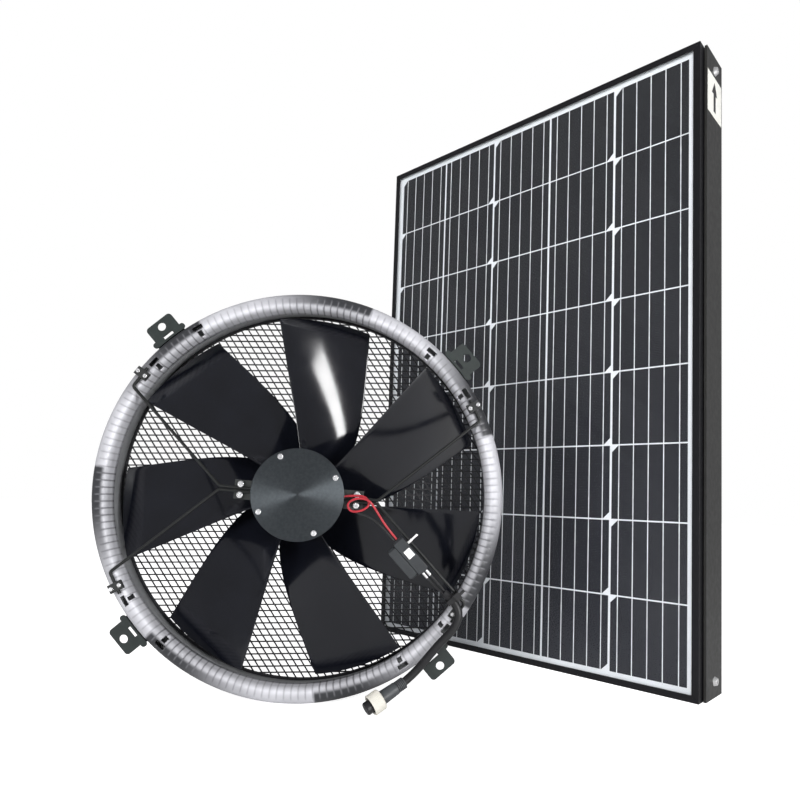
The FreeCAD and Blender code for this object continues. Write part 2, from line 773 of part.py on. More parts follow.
def frame_bar(side):
    """One mitred frame member: outer wall, front lip, glass ledge and back flange."""
    section = [
        (0, 0), (LIP_W, 0), (LIP_W, 1.5), (WALL, 1.5), (WALL, 6.6), (10, 6.6), (10, 7.8), (WALL, 7.8),
        (WALL, PANEL_D - 1.6), (22, PANEL_D - 1.6), (22, PANEL_D), (0, PANEL_D),
        (0, 20.0), (0.6, 19.6), (0.6, 17.4), (0, 17.0),
    ]
    half = PANEL_W / 2
    if side in ("left", "right"):
        s = -1 if side == "left" else 1
        outline = [V(s * (half - a), d, 0) for a, d in section]
        bar = Part.Face(Part.makePolygon(outline + outline[:1])).extrude(V(0, 0, PANEL_H))
        corners = [V(s * half, 0, 0), V(0, 0, half), V(0, 0, PANEL_H - half), V(s * half, 0, PANEL_H)]
    else:
        z_edge = 0 if side == "bottom" else PANEL_H
        s = 1 if side == "bottom" else -1
        outline = [V(-half, d, z_edge + s * a) for a, d in section]
        bar = Part.Face(Part.makePolygon(outline + outline[:1])).extrude(V(PANEL_W, 0, 0))
        corners = [V(-half, 0, z_edge), V(0, 0, z_edge + s * half), V(half, 0, z_edge)]
    sector = Part.Face(Part.makePolygon(corners + corners[:1])).extrude(V(0, PANEL_D, 0))
    return bar.common(sector)


def corner_keys():
    """Angle pieces inside the frame's hollow, one in each corner."""
    keys = []
    for sx in (-1, 1):
        for z, sz in ((0, 1), (PANEL_H, -1)):
            x = sx * (PANEL_W / 2 - WALL - 0.1)
            z0 = z + sz * (WALL + 0.1)
            x_arm = sorted((x, x - sx * 26))
            z_arm = sorted((z0, z0 + sz * 26))
            x_web = sorted((x, x - sx * 2.5))
            z_web = sorted((z0, z0 + sz * 2.5))
            keys.append(box(*x_arm, 9, 25, *z_web).fuse(box(*x_web, 9, 25, *z_arm)))
    return group(keys)


def glass():
    edge = WALL + 0.6
    half = PANEL_W / 2 - edge
    return box(-half, half, 1.55, 4.75, edge, PANEL_H - edge)


def cell_corner(column, row):
    """Lower left corner of a cell, counted from the top left."""
    x = -COLUMNS * CELL_PITCH_X / 2 + column * CELL_PITCH_X + CELL_GAP_X / 2
    top = PANEL_H / 2 + ROWS * CELL_PITCH_Z / 2 - row * CELL_PITCH_Z - CELL_GAP_Z / 2
    return x, top - (CELL_PITCH_Z - CELL_GAP_Z)


def solar_cells():
    """Quarter-cut cells; the chamfered corner is top left in odd columns and bottom right in even ones."""
    w = CELL_PITCH_X - CELL_GAP_X
    h = CELL_PITCH_Z - CELL_GAP_Z
    c = CELL_CHAMFER
    first = [V(0, 0, 0), V(w, 0, 0), V(w, 0, h), V(c, 0, h), V(0, 0, h - c), V(0, 0, 0)]
    second = [V(0, 0, 0), V(w - c, 0, 0), V(w, 0, c), V(w, 0, h), V(0, 0, h), V(0, 0, 0)]
    cells = []
    for column in range(COLUMNS):
        outline = first if column % 2 == 0 else second
        for row in range(ROWS):
            x, z = cell_corner(column, row)
            cell = Part.Face(Part.makePolygon(outline)).extrude(V(0, 0.25, 0))
            cell.translate(V(x, 5.0, z))
            cells.append(cell)
    return group(cells)


def busbar_ribbons():
    """Flat ribbons down the front of each column of cells."""
    w = CELL_PITCH_X - CELL_GAP_X
    top = PANEL_H / 2 + ROWS * CELL_PITCH_Z / 2 + 1
    bottom = PANEL_H - top
    ribbons = []
    for column in range(COLUMNS):
        x, z = cell_corner(column, 0)
        for k in range(RIBBONS_PER_CELL):
            centre = x + w * (k + 0.5) / RIBBONS_PER_CELL
            ribbons.append(box(centre - 0.55, centre + 0.55, 4.82, 4.97, bottom, top))
    return group(ribbons)


def backsheet():
    edge = WALL + 0.6
    half = PANEL_W / 2 - edge
    return box(-half, half, 5.4, 6.4, edge, PANEL_H - edge)


def junction_box():
    z0 = PANEL_H - 170
    body = box(-50, 50, 6.45, 22, z0, z0 + 70)
    body = body.cut(box(-47, 47, 9, 30, z0 + 3, z0 + 67))
    for x in (-25, 25):
        body = body.cut(Part.makeCylinder(4.0, 10, V(x, 15, z0 - 2)))
    return body


def junction_lid():
    z0 = PANEL_H - 170
    lid = box(-50, 50, 22.05, 24.5, z0, z0 + 70)
    return lid.makeFillet(1.0, [e for e in lid.Edges if abs(e.CenterOfMass.y - 24.5) < 0.01])


def cable_glands():
    z0 = PANEL_H - 170
    glands = []
    for x in (-25, 25):
        nut = hexagon(12.0, V(x, 15, z0 - 0.05), V(0, 0, -1), 5.0)
        dome = Part.makeCone(5.4, 4.2, 8.0, V(x, 15, z0 - 5.05), V(0, 0, -1))
        neck = Part.makeCylinder(3.9, 3.0, V(x, 15, z0 - 0.1))
        bore = Part.makeCylinder(2.6, 30, V(x, 15, z0 - 20))
        glands.append(nut.fuse(dome).fuse(neck).cut(bore))
    return group(glands)


# ---------------------------------------------------------------- tilt rails

BOLT_HEIGHTS = (BOLT_END, PANEL_H - BOLT_END)


def mount_ears():
    """Angle plates on the frame's back flange; the upper pair is slotted open to the back."""
    ears = []
    inner = PANEL_W / 2 - 0.5
    for sx in (-1, 1):
        for z in BOLT_HEIGHTS:
            foot_x = sorted((sx * inner, sx * (inner - 21)))
            web_x = sorted((sx * inner, sx * (inner - 2.5)))
            y0 = PANEL_D + 0.05
            ear = box(*foot_x, y0, y0 + 2.5, z - 15, z + 15).fuse(box(*web_x, y0, 52, z - 15, z + 15))
            hole = Part.makeCylinder(BOLT_R + RUNNING_GAP, 40, V(sx * (inner - 20), BOLT_Y, z), V(sx, 0, 0))
            ear = ear.cut(hole)
            if z > PANEL_H / 2:
                slot_x = sorted((sx * (inner - 5), sx * (inner + 5)))
                ear = ear.cut(box(*slot_x, BOLT_Y, 60, z - BOLT_R - 0.25, z + BOLT_R + 0.25))
            ears.append(ear)
    return group(ears)


def rail(sx):
    """Tilt rail: a side web outside the frame and a foot flange with two fixing holes."""
    x0 = PANEL_W / 2 + RAIL_GAP
    web = box(x0, x0 + RAIL_T, RAIL_FRONT_Y, RAIL_BACK_Y, 0, PANEL_H)
    foot = box(x0 + RAIL_T - RAIL_FOOT_W, x0 + RAIL_T, RAIL_BACK_Y - RAIL_T, RAIL_BACK_Y, 0, PANEL_H)
    body = web.fuse(foot)
    for z in BOLT_HEIGHTS:
        body = body.cut(Part.makeCylinder(BOLT_R + RUNNING_GAP, 20, V(x0 - 5, BOLT_Y, z), V(1, 0, 0)))
    for z in (FOOT_HOLE_END, PANEL_H - FOOT_HOLE_END):
        body = body.cut(disc(FOOT_HOLE_R, 50, 80, V(x0 - 14, 0, z)))
    return body if sx > 0 else body.mirror(ORIGIN, V(1, 0, 0))


def cross_bars():
    """Flat bars that join the two rails."""
    half = PANEL_W / 2 - 1
    y1 = RAIL_BACK_Y - RAIL_T - 0.05
    return group([box(-half, half, y1 - 3, y1, z, z + 30) for z in (110, PANEL_H - 260)])


def rail_bolt(sx, z):
    """Pan-head bolt through the rail and the ear, with its nut inside the ear."""
    face = PANEL_W / 2 + RAIL_GAP + RAIL_T + 0.02
    head = Part.makeCone(5.6, 4.0, 3.6, V(face, BOLT_Y, z), V(1, 0, 0))
    socket = hexagon(4.0, V(face + 1.6, BOLT_Y, z), V(1, 0, 0), 3.0)
    shank = Part.makeCylinder(BOLT_R, 15, V(face - 15, BOLT_Y, z), V(1, 0, 0))
    nut = hexagon(10.0, V(PANEL_W / 2 - 3.02, BOLT_Y, z), V(-1, 0, 0), 5.0)
    bolt = head.cut(socket).multiFuse([shank, nut])
    return bolt if sx > 0 else bolt.mirror(ORIGIN, V(1, 0, 0))


def lift_label():
    x0 = PANEL_W / 2 + RAIL_GAP + RAIL_T + 0.02
    return box(x0, x0 + 0.25, RAIL_FRONT_Y + 2, RAIL_BACK_Y - 3, PANEL_H - 79, PANEL_H - 28)


# ---------------------------------------------------------------- build

ROLLED = {
    "inlet_ring": inlet_ring(),
    "shroud": shroud(),
    "guard_rows": guard_layer(SHROUD_BACK_Y + SHEET + 0.2, ROW_ANGLE, ROW_PITCH),
    "guard_diagonals": guard_layer(SHROUD_BACK_Y + SHEET + 0.4 + STRAND_T, DIAGONAL_ANGLE, DIAGONAL_PITCH),
    "guard_rim": guard_rim(),
    "guard_screws": guard_screws(),
    "mount_brackets": mount_brackets(),
    "bracket_rivets": bracket_rivets(),
    "strut_rods_left": group([strut_rod(-1, 1), strut_rod(-1, -1)]),
    "strut_rods_right": group([strut_rod(1, 1), strut_rod(1, -1)]),
    "strut_plates": strut_plates(),
    "strut_screws": strut_screws(),
    "rod_clamps": rod_clamps(),
    "clamp_screws": clamp_screws(),
    "motor_cover": motor_cover(),
    "cover_screws": cover_screws(),
    "motor_housing": motor_housing(),
    "bearings": bearings(),
    "stator_core": stator_core(),
    "stator_windings": stator_windings(),
    "control_board": control_board(),
    "motor_shaft": motor_shaft(),
    "rotor_core": rotor_core(),
    "rotor_magnets": rotor_magnets(),
    "fan_wheel": fan_wheel(),
    "wheel_washer": wheel_washer(),
    "wheel_nut": wheel_nut(),
    "red_wire": red_wire(),
    "black_wire": black_wire(),
    "connector_socket": connector_socket(),
    "connector_plug": connector_plug(),
    "connector_terminals": connector_terminals(),
    "lead_pair": lead_pair(),
    "cable_tie": cable_tie(),
    "white_tie": white_tie(),
    "lock_tab": lock_tab(),
}

UNROLLED = {
    "lead_cable": lead_cable(),
    "plug_strain_relief": plug_strain_relief(),
    "plug_body": plug_body(),
    "coupling_nut": coupling_nut(),
    "plug_insert": plug_insert(),
}

PANEL = {
    "frame_top": frame_bar("top"),
    "frame_bottom": frame_bar("bottom"),
    "frame_left": frame_bar("left"),
    "frame_right": frame_bar("right"),
    "corner_keys": corner_keys(),
    "glass": glass(),
    "solar_cells": solar_cells(),
    "busbar_ribbons": busbar_ribbons(),
    "backsheet": backsheet(),
    "junction_box": junction_box(),
    "junction_lid": junction_lid(),
    "cable_glands": cable_glands(),
    "mount_ears": mount_ears(),
    "rail_left": rail(-1),
    "rail_right": rail(1),
    "cross_bars": cross_bars(),
    "pivot_bolts": group([rail_bolt(s, BOLT_HEIGHTS[0]) for s in (-1, 1)]),
    "lock_bolts": group([rail_bolt(s, BOLT_HEIGHTS[1]) for s in (-1, 1)]),
    "lift_label": lift_label(),
}

os.makedirs("parts", exist_ok=True)
nodes = {name: turn(shape, FAN_ROLL) for name, shape in ROLLED.items()}
nodes.update(UNROLLED)
place = FreeCAD.Placement(PANEL_CENTRE, FreeCAD.Rotation(AXIS_Z, PANEL_YAW))
for name, shape in PANEL.items():
    placed = shape.copy()
    placed.Placement = place.multiply(placed.Placement)
    nodes[name] = placed
for name, shape in nodes.items():
    if not shape.isValid():
        print("invalid shape:", name)
    shape.exportStep(f"parts/{name}.step")
print(len(nodes), "nodes")
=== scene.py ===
import json
import math
import random

import bmesh
import bpy
from mathutils import Matrix, Vector


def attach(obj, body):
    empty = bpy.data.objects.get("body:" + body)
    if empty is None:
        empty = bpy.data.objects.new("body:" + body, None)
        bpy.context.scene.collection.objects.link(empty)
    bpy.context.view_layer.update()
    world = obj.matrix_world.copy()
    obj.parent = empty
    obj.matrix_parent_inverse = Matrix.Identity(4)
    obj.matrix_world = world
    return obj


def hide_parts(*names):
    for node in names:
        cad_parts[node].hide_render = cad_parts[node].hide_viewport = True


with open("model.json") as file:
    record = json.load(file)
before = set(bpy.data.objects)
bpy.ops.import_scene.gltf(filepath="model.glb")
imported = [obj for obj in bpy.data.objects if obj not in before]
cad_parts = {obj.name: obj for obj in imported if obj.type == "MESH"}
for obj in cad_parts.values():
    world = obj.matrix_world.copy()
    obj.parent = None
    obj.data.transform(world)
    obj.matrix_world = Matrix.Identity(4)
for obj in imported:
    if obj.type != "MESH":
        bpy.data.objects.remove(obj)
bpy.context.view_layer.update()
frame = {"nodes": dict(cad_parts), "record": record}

# Solar attic fan kit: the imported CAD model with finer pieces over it.
# Row frame, in metres; MM turns millimetres into them.
MM = 0.001
ROLL = -3.4
BLADES = 7
REFLECTION_PATCHES = 7
REFLECTION_PATCH_START = 19.0    # where the first painted dark reflection patch on the ring starts, degrees
CRIMPS = 175          # crimps round the inlet ring
RING_R = 215.5        # outside, crest and lip of the inlet ring, millimetres
CREST_R = 202.5
LIP_R = 197.5
CREST_Y = -9.0        # the ring's most forward line
ROLL_Y = 3.0          # where the rolled front meets the skirt
WIRE_R = 1.2
CABLE_R = 4.2
FLOOR_Z = -0.2155
random.seed(7)


# ---------------------------------------------------------------- camera

def make_camera():
    data = bpy.data.cameras.new("Camera")
    data.sensor_width = 36.0
    data.lens = 28.39
    data.shift_y = 0.07
    cam = bpy.data.objects.new("Camera", data)
    bpy.context.scene.collection.objects.link(cam)
    right = Vector((0.99846, -0.04357, 0.03437))
    up = Vector((-0.03721, -0.06605, 0.99712))
    back = Vector((-0.04117, -0.99686, -0.06757))
    turned = Matrix((right, up, back)).transposed().to_4x4()
    cam.matrix_world = Matrix.Translation((0.07637, -0.67028, -0.00041)) @ turned
    bpy.context.scene.camera = cam


make_camera()


# ---------------------------------------------------------------- materials

class Finish:
    """One node material, made from noise in object space."""

    def __init__(self, name):
        self.mat = bpy.data.materials.new(name)
        self.mat.use_nodes = True
        self.tree = self.mat.node_tree
        self.shader = self.tree.nodes["Principled BSDF"]
        self.coords = self.node("ShaderNodeTexCoord").outputs["Object"]

    def node(self, kind, **values):
        made = self.tree.nodes.new(kind)
        for key, value in values.items():
            if key in made.inputs:
                made.inputs[key].default_value = value
            else:
                setattr(made, key, value)
        return made

    def link(self, a, b):
        self.tree.links.new(a, b)

    def noise(self, scale, detail=3.0, stretch=(1, 1, 1)):
        mapping = self.node("ShaderNodeMapping")
        mapping.inputs["Scale"].default_value = stretch
        self.link(self.coords, mapping.inputs["Vector"])
        made = self.node("ShaderNodeTexNoise", Scale=scale, Detail=detail)
        self.link(mapping.outputs["Vector"], made.inputs["Vector"])
        return made.outputs["Fac"]

    def ramp(self, fac, stops):
        made = self.node("ShaderNodeValToRGB")
        ramp = made.color_ramp
        while len(ramp.elements) < len(stops):
            ramp.elements.new(0.5)
        for element, (place, colour) in zip(ramp.elements, stops):
            element.position = place
            element.color = (*colour, 1.0)
        self.link(fac, made.inputs["Fac"])
        return made.outputs["Color"]

    def spread(self, fac, low, high):
        made = self.node("ShaderNodeMapRange")
        made.inputs["From Min"].default_value = 0.3
        made.inputs["From Max"].default_value = 0.7
        made.inputs["To Min"].default_value = low
        made.inputs["To Max"].default_value = high
        self.link(fac, made.inputs["Value"])
        return made.outputs["Result"]

    def maths(self, operation, a, b=0.0):
        """One arithmetic step; a and b are sockets or numbers."""
        made = self.node("ShaderNodeMath", operation=operation)
        for socket, value in zip(made.inputs, (a, b)):
            if isinstance(value, (int, float)):
                socket.default_value = value
            else:
                self.link(value, socket)
        return made.outputs["Value"]

    def fade(self, value, start, end):
        """Runs from 0 to 1 as the value goes from start to end, and holds outside."""
        made = self.node("ShaderNodeMapRange", interpolation_type="SMOOTHSTEP")
        made.inputs["From Min"].default_value = start
        made.inputs["From Max"].default_value = end
        self.link(value, made.inputs["Value"])
        return made.outputs["Result"]

    def blend(self, fac, a, b):
        made = self.node("ShaderNodeMix", data_type="RGBA")
        self.link(fac, made.inputs[0])
        for socket, value in ((made.inputs[6], a), (made.inputs[7], b)):
            if isinstance(value, tuple):
                socket.default_value = (*value, 1.0)
            else:
                self.link(value, socket)
        return made.outputs[2]

    def bump(self, fac, strength, distance=0.0005):
        made = self.node("ShaderNodeBump", Strength=strength, Distance=distance)
        self.link(fac, made.inputs["Height"])
        self.link(made.outputs["Normal"], self.shader.inputs["Normal"])


def finish(name, base, vary=0.12, rough=(0.4, 0.5), metal=0.0, scale=60.0, bump=0.0, stretch=(1, 1, 1)):
    """A finish with its colour, roughness and surface all varied by noise."""
    f = Finish(name)
    fac = f.noise(scale, 4.0, stretch)
    dark = tuple(c * (1 - vary) for c in base)
    light = tuple(min(1.0, c * (1 + vary)) for c in base)
    f.link(f.ramp(fac, [(0.3, dark), (0.7, light)]), f.shader.inputs["Base Color"])
    f.link(f.spread(f.noise(scale * 2.3, 3.0, stretch), *rough), f.shader.inputs["Roughness"])
    f.shader.inputs["Metallic"].default_value = metal
    if bump:
        f.bump(f.noise(400.0, 3.0, stretch), bump)
    return f.mat


def turned_black():
    """Black anodised aluminium turned on a lathe: fine rings give bright and dark sectors."""
    f = Finish("turned_black")
    fac = f.noise(400.0, 2.0)
    colour = f.ramp(fac, [(0.3, (0.088, 0.099, 0.108)), (0.7, (0.108, 0.120, 0.130))])
    f.link(colour, f.shader.inputs["Base Color"])
    f.link(f.spread(f.noise(600.0), 0.46, 0.50), f.shader.inputs["Roughness"])
    f.shader.inputs["Metallic"].default_value = 1.0
    f.shader.inputs["Anisotropic"].default_value = 0.95
    f.shader.inputs["Anisotropic Rotation"].default_value = 0.25
    tangent = f.node("ShaderNodeTangent", direction_type="RADIAL", axis="Y")
    f.link(tangent.outputs["Tangent"], f.shader.inputs["Tangent"])
    return f.mat


def galvanised():
    """Bright rolled sheet with painted shade darkening it towards its outside, painted dark reflections as
    patches that start sharply and fade away, and painted shade in its crimp valleys.
    """
    f = Finish("galvanised")
    split = f.node("ShaderNodeSeparateXYZ")
    f.link(f.coords, split.inputs["Vector"])
    x, z = split.outputs["X"], split.outputs["Z"]
    radius = f.maths("SQRT", f.maths("ADD", f.maths("MULTIPLY", x, x), f.maths("MULTIPLY", z, z)))
    turn = f.maths("DIVIDE", f.maths("ARCTAN2", z, x), 2 * math.pi)
    shift = REFLECTION_PATCHES - REFLECTION_PATCHES * REFLECTION_PATCH_START / 360.0
    lap = f.maths("FRACT", f.maths("ADD", f.maths("MULTIPLY", turn, REFLECTION_PATCHES), shift))
    # painted dark reflections: seven patches round the outer part of the band, each starting sharply and fading
    # away
    along = f.maths("MULTIPLY", f.fade(lap, 0.0, 0.02), f.maths("SUBTRACT", 1.0, f.fade(lap, 0.22, 0.72)))
    dark_reflection_patch = f.maths("MULTIPLY", along, f.fade(radius, 0.1980, 0.2050))
    bright = f.ramp(f.noise(45.0, 5.0), [(0.32, (0.52, 0.52, 0.55)), (0.68, (0.66, 0.66, 0.70))])
    # painted shade: the bright colour darkens towards the ring's outside
    outer_painted_shade = f.fade(radius, 0.1990, 0.2070)
    bright = f.blend(f.maths("MULTIPLY", outer_painted_shade, 0.5), bright, (0.30, 0.30, 0.32))
    shade = f.blend(f.maths("MULTIPLY", dark_reflection_patch, 0.97), bright, (0.018, 0.019, 0.022))
    # painted shade in the crimp valleys: dark lines in the base colour, stronger inside the painted dark
    # reflections, fading out towards the outside
    crimp = f.maths("FRACT", f.maths("ADD", f.maths("MULTIPLY", turn, CRIMPS), CRIMPS * (1 - ROLL / 360.0)))
    valley = f.fade(f.maths("ABSOLUTE", f.maths("SUBTRACT", crimp, 0.5)), 0.30, 0.50)
    inner = f.maths("SUBTRACT", 1.0, f.fade(radius, 0.2070, 0.2115))
    strength = f.maths("ADD", 0.38, f.maths("MULTIPLY", along, 0.45))
    valley = f.maths("MULTIPLY", f.maths("MULTIPLY", valley, inner), strength)
    f.link(f.blend(valley, shade, (0.12, 0.12, 0.13)), f.shader.inputs["Base Color"])
    f.link(f.spread(f.noise(60.0, 4.0), 0.40, 0.52), f.shader.inputs["Roughness"])
    f.shader.inputs["Metallic"].default_value = 0.12
    f.bump(f.noise(180.0, 4.0), 0.06)
    return f.mat


def silicon():
    """Dark cells, each a little different, with painted shade that runs them darker towards the panel's top, and
    fine contact fingers.
    """
    f = Finish("cell_silicon")
    split = f.node("ShaderNodeSeparateXYZ")
    f.link(f.coords, split.inputs["Vector"])
    # painted shade: the base colour runs darker from the panel's bottom to its top
    height = f.fade(split.outputs["Z"], FLOOR_Z, FLOOR_Z + 0.75)
    island = f.node("ShaderNodeNewGeometry").outputs["Random Per Island"]
    low = f.ramp(island, [(0.0, (0.018, 0.018, 0.024)), (1.0, (0.024, 0.024, 0.030))])
    high = f.ramp(island, [(0.0, (0.013, 0.013, 0.015)), (1.0, (0.018, 0.018, 0.020))])
    base = f.blend(height, low, high)
    wave = f.maths("SINE", f.maths("MULTIPLY", split.outputs["Z"], 2 * math.pi / 0.0021))
    fingers = f.fade(wave, 0.80, 1.0)
    f.link(f.blend(f.maths("MULTIPLY", fingers, 0.22), base, (0.16, 0.16, 0.17)), f.shader.inputs["Base Color"])
    f.link(f.spread(f.noise(120.0), 0.38, 0.5), f.shader.inputs["Roughness"])
    return f.mat


def clear_glass():
    """Thin clear cover: see-through, its outside faces with a soft reflection that grows at a slant."""
    f = Finish("glass")
    nodes = f.tree.nodes
    clear = f.node("ShaderNodeBsdfTransparent")
    clear.inputs["Color"].default_value = (0.97, 0.98, 0.985, 1.0)
    gloss = f.node("ShaderNodeBsdfGlossy")
    f.link(f.spread(f.noise(6.0), 0.22, 0.28), gloss.inputs["Roughness"])
    f.link(f.ramp(f.noise(15.0), [(0.3, (0.62, 0.64, 0.66)), (0.7, (0.72, 0.73, 0.74))]), gloss.inputs["Color"])
    edge = f.node("ShaderNodeFresnel", IOR=1.35)
    outside = f.maths("SUBTRACT", 1.0, f.node("ShaderNodeNewGeometry").outputs["Backfacing"])
    mix = f.node("ShaderNodeMixShader")
    f.link(f.maths("MULTIPLY", edge.outputs["Fac"], outside), mix.inputs["Fac"])
    f.link(clear.outputs["BSDF"], mix.inputs[1])
    f.link(gloss.outputs["BSDF"], mix.inputs[2])
    f.link(mix.outputs["Shader"], nodes["Material Output"].inputs["Surface"])
    nodes.remove(f.shader)
    return f.mat


FINISHES = {
    "galvanised_shroud": dict(base=(0.34, 0.35, 0.36), metal=0.3, rough=(0.3, 0.42), scale=30, bump=0.1),
    "guard_black": dict(base=(0.012, 0.012, 0.014), rough=(0.4, 0.55), scale=200),
    "guard_rim_black": dict(base=(0.02, 0.02, 0.022), rough=(0.4, 0.55), scale=90, bump=0.1),
    "screw_steel": dict(base=(0.60, 0.60, 0.60), metal=1.0, rough=(0.25, 0.4), scale=200),
    "bracket_paint": dict(base=(0.017, 0.022, 0.021), rough=(0.42, 0.55), scale=120, bump=0.15),
    "rivet_steel": dict(base=(0.20, 0.21, 0.21), metal=1.0, rough=(0.35, 0.5), scale=200),
    "rod_paint": dict(base=(0.015, 0.016, 0.016), metal=0.3, rough=(0.3, 0.42), scale=150),
    "plate_paint": dict(base=(0.025, 0.027, 0.026), rough=(0.4, 0.5), scale=120),
    "bright_screw": dict(base=(0.92, 0.92, 0.93), vary=0.05, metal=0.9, rough=(0.22, 0.32), scale=200),
    "clamp_paint": dict(base=(0.02, 0.021, 0.021), rough=(0.35, 0.5), scale=150),
    "housing_black": dict(base=(0.03, 0.032, 0.034), metal=0.6, rough=(0.35, 0.5), scale=100, bump=0.1),
    "bearing_steel": dict(base=(0.55, 0.55, 0.56), metal=1.0, rough=(0.2, 0.3), scale=150),
    "lamination": dict(base=(0.25, 0.25, 0.26), metal=1.0, rough=(0.4, 0.55), scale=150, stretch=(1, 20, 1)),
    "copper": dict(base=(0.55, 0.22, 0.08), metal=1.0, rough=(0.3, 0.4), scale=200, bump=0.3),
    "board": dict(base=(0.02, 0.12, 0.05), rough=(0.4, 0.5), scale=150),
    "shaft_steel": dict(base=(0.60, 0.60, 0.61), metal=1.0, rough=(0.2, 0.3), scale=150),
    "magnet": dict(base=(0.35, 0.35, 0.36), metal=1.0, rough=(0.3, 0.4), scale=100),
    "blade_black": dict(base=(0.004, 0.0045, 0.007), vary=0.2, rough=(0.09, 0.13), scale=25),
    "red_insulation": dict(base=(0.34, 0.020, 0.030), rough=(0.3, 0.4), scale=120, bump=0.1),
    "black_insulation": dict(base=(0.012, 0.012, 0.013), rough=(0.3, 0.4), scale=120, bump=0.1),
    "connector_grey": dict(base=(0.026, 0.029, 0.032), rough=(0.38, 0.5), scale=150, bump=0.12),
    "tinned": dict(base=(0.75, 0.75, 0.76), metal=1.0, rough=(0.25, 0.35), scale=150),
    "tie_black": dict(base=(0.010, 0.010, 0.011), rough=(0.35, 0.5), scale=120),
    "tie_white": dict(base=(0.75, 0.75, 0.74), rough=(0.35, 0.5), scale=120),
    "cable_jacket": dict(base=(0.009, 0.009, 0.010), rough=(0.38, 0.5), scale=120, bump=0.15),
    "plug_rubber": dict(base=(0.060, 0.063, 0.068), rough=(0.5, 0.65), scale=150, bump=0.2),
    "plug_grey": dict(base=(0.050, 0.054, 0.058), rough=(0.4, 0.5), scale=150, bump=0.15),
    "nut_white": dict(base=(0.62, 0.60, 0.54), vary=0.06, rough=(0.4, 0.5), scale=90),
    "insert_black": dict(base=(0.012, 0.012, 0.013), rough=(0.35, 0.5), scale=150),
    "frame_black": dict(base=(0.009, 0.009, 0.011), metal=0.4, rough=(0.35, 0.45), scale=90, bump=0.08),
    "key_alu": dict(base=(0.55, 0.55, 0.56), metal=1.0, rough=(0.35, 0.5), scale=90),
    "ribbon": dict(base=(0.90, 0.90, 0.92), metal=0.1, rough=(0.4, 0.5), scale=60),
    "backsheet_white": dict(base=(0.90, 0.90, 0.92), vary=0.03, rough=(0.5, 0.6), scale=20),
    "box_black": dict(base=(0.015, 0.015, 0.016), rough=(0.45, 0.6), scale=90, bump=0.2),
    "gland_black": dict(base=(0.015, 0.015, 0.016), rough=(0.4, 0.5), scale=90, bump=0.1),
    "rail_black": dict(base=(0.020, 0.020, 0.019), rough=(0.45, 0.55), scale=70, bump=0.12),
    "lock_white": dict(base=(0.78, 0.78, 0.77), vary=0.04, rough=(0.4, 0.5), scale=120),
    "bolt_steel": dict(base=(0.80, 0.80, 0.80), vary=0.06, metal=0.9, rough=(0.25, 0.38), scale=150),
    "label_white": dict(base=(0.72, 0.72, 0.67), vary=0.03, rough=(0.5, 0.6), scale=60),
    "ink": dict(base=(0.03, 0.03, 0.03), rough=(0.5, 0.6), scale=100),
}

MATS = {name: finish(name, **values) for name, values in FINISHES.items()}
MATS["turned_black"] = turned_black()
MATS["galvanised"] = galvanised()
MATS["cell_silicon"] = silicon()
MATS["glass"] = clear_glass()

SLOT_OF = {row["node"]: row["material_slot"] for row in frame["record"]["subparts"]}
BODY_OF = {n: body for body, members in frame["record"]["behaviour"]["bodies"].items() for n in members}
for name, node in frame["nodes"].items():
    node.data.materials.clear()
    node.data.materials.append(MATS[SLOT_OF[name]])


# ---------------------------------------------------------------- building helpers

def add(name, mesh, slot, body, replaces=(), smooth=None):
    """Puts a mesh in the scene as a piece on a body; smooth is the angle under which edges are rounded off."""
    obj = bpy.data.objects.new(name, mesh)
    bpy.context.scene.collection.objects.link(obj)
    mesh.materials.clear()
    mesh.materials.append(MATS[slot])
    if smooth is not None:
        mesh.shade_smooth()
        mesh.set_sharp_from_angle(angle=math.radians(smooth))
    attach(obj, body)
    if replaces:
        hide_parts(*replaces)
    return obj


def fan_point(radius, angle, y):
    """A point on the fan in metres, from millimetres and degrees from the fan's own horizontal."""
    a = math.radians(angle + ROLL)
    return Vector((radius * math.cos(a), y, radius * math.sin(a))) * MM


def grid(rows, closed=False, caps=False):
    """A mesh from rows of points; closed joins each row's ends, caps fills the first and last row."""
    width = len(rows[0])
    verts = [p for row in rows for p in row]
    faces = []
    for i in range(len(rows) - 1):
        for j in range(width if closed else width - 1):
            k = (j + 1) % width
            faces.append((i * width + j, i * width + k, (i + 1) * width + k, (i + 1) * width + j))
    if caps:
        faces.append(tuple(range(width))[::-1])
        last = (len(rows) - 1) * width
        faces.append(tuple(last + j for j in range(width)))
    mesh = bpy.data.meshes.new("grid")
    mesh.from_pydata(verts, [], faces)
    tidy_mesh(mesh)
    return mesh


def tidy_mesh(mesh, merge=1e-6):
    bm = bmesh.new()
    bm.from_mesh(mesh)
    bmesh.ops.remove_doubles(bm, verts=bm.verts, dist=merge)
    bmesh.ops.recalc_face_normals(bm, faces=bm.faces)
    bm.to_mesh(mesh)
    bm.free()


def lathe(outline, steps, place):
    """A closed outline of (radius, distance) turned about the axis that place(radius, angle, distance) knows."""
    rows = [[place(r, 360.0 * k / steps, d) for r, d in outline] for k in range(steps)]
    return grid(rows + rows[:1], closed=True)


def rounded(outline, radius, steps=3):
    """A closed outline with its corners rounded off."""
    out = []
    count = len(outline)
    for i in range(count):
        here = Vector(outline[i])
        before = Vector(outline[i - 1]) - here
        after = Vector(outline[(i + 1) % count]) - here
        reach = min(radius, before.length * 0.45, after.length * 0.45)
        if reach < 1e-5:
            out.append(tuple(here))
            continue
        a = here + before.normalized() * reach
        b = here + after.normalized() * reach
        for k in range(steps + 1):
            t = k / steps
            out.append(tuple(a * (1 - t) ** 2 + here * 2 * t * (1 - t) + b * t * t))
    return out


